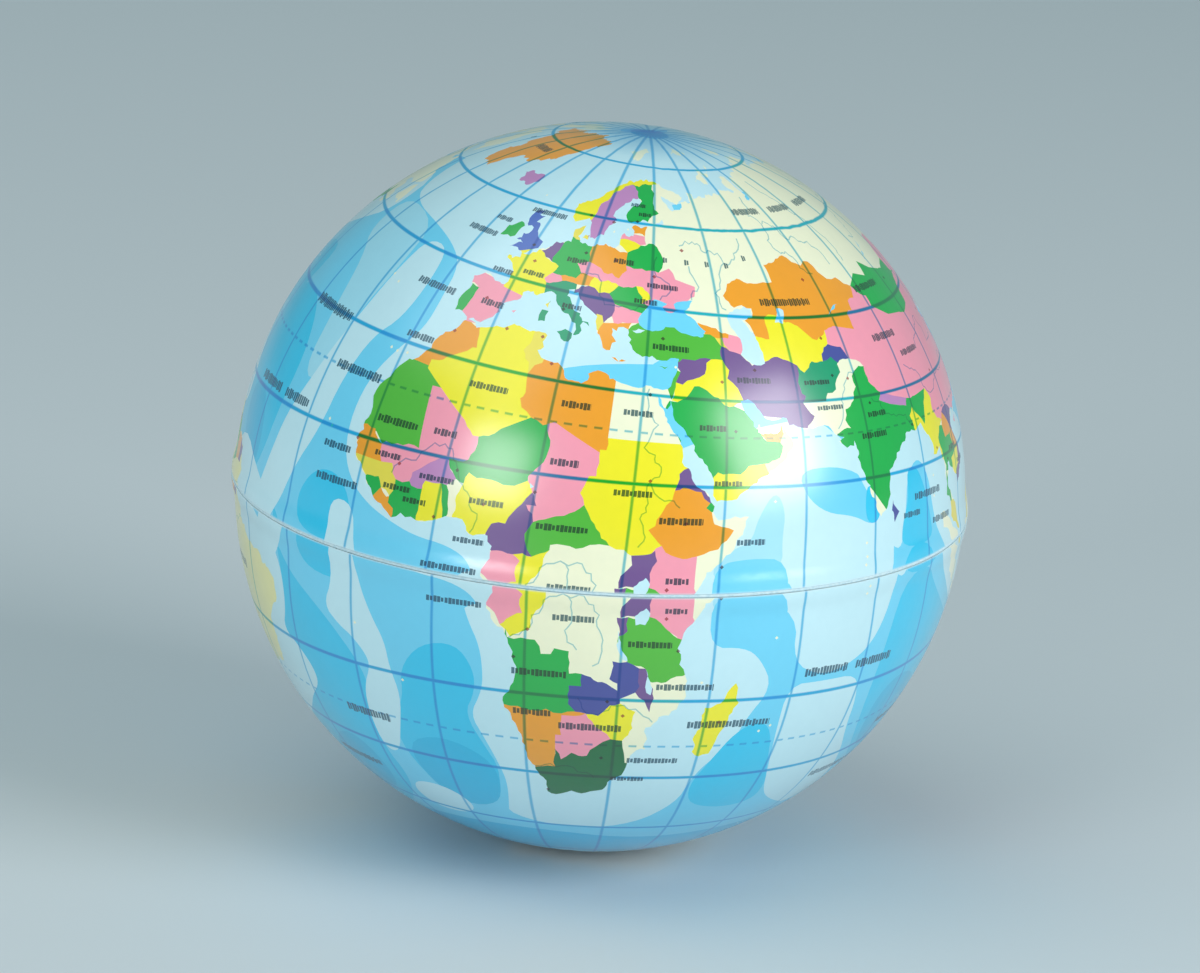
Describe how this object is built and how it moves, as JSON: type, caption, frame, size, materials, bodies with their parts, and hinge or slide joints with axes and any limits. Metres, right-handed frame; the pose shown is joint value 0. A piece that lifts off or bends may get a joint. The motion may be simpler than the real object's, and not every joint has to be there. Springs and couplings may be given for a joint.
{
  "type": "stress ball",
  "caption": "Soft foam squeeze ball printed as a political globe: a foam core in north and south printed skins with a raised seam on the equator.",
  "frame": {"origin": "centre of the ball", "axes": "+Z through the printed north pole, -Y through the prime meridian, +X through 90 degrees east"},
  "size_m": [0.0768, 0.0768, 0.076],
  "materials": {
    "foam": "soft open-cell polyurethane foam, matte white",
    "printed_skin": "printed flexible skin under clear gloss lacquer"
  },
  "bodies": {
    "core": {"foam_core": "foam"},
    "north_half": {"north_skin": "printed_skin"},
    "south_half": {"south_skin": "printed_skin"}
  },
  "joints": [
    {"name": "squeeze_north", "type": "slide", "parent": "core", "child": "north_half", "axis": [0, 0, -1], "range_m": [0, 0.012], "stiffness_N_per_m": 2500, "deforming": ["north_skin", "foam_core"]},
    {"name": "squeeze_south", "type": "slide", "parent": "core", "child": "south_half", "axis": [0, 0, 1], "range_m": [0, 0.012], "stiffness_N_per_m": 2500, "deforming": ["south_skin"]}
  ],
  "couplings": [
    {"joint": "squeeze_south", "follows": "squeeze_north", "ratio": 1}
  ]
}
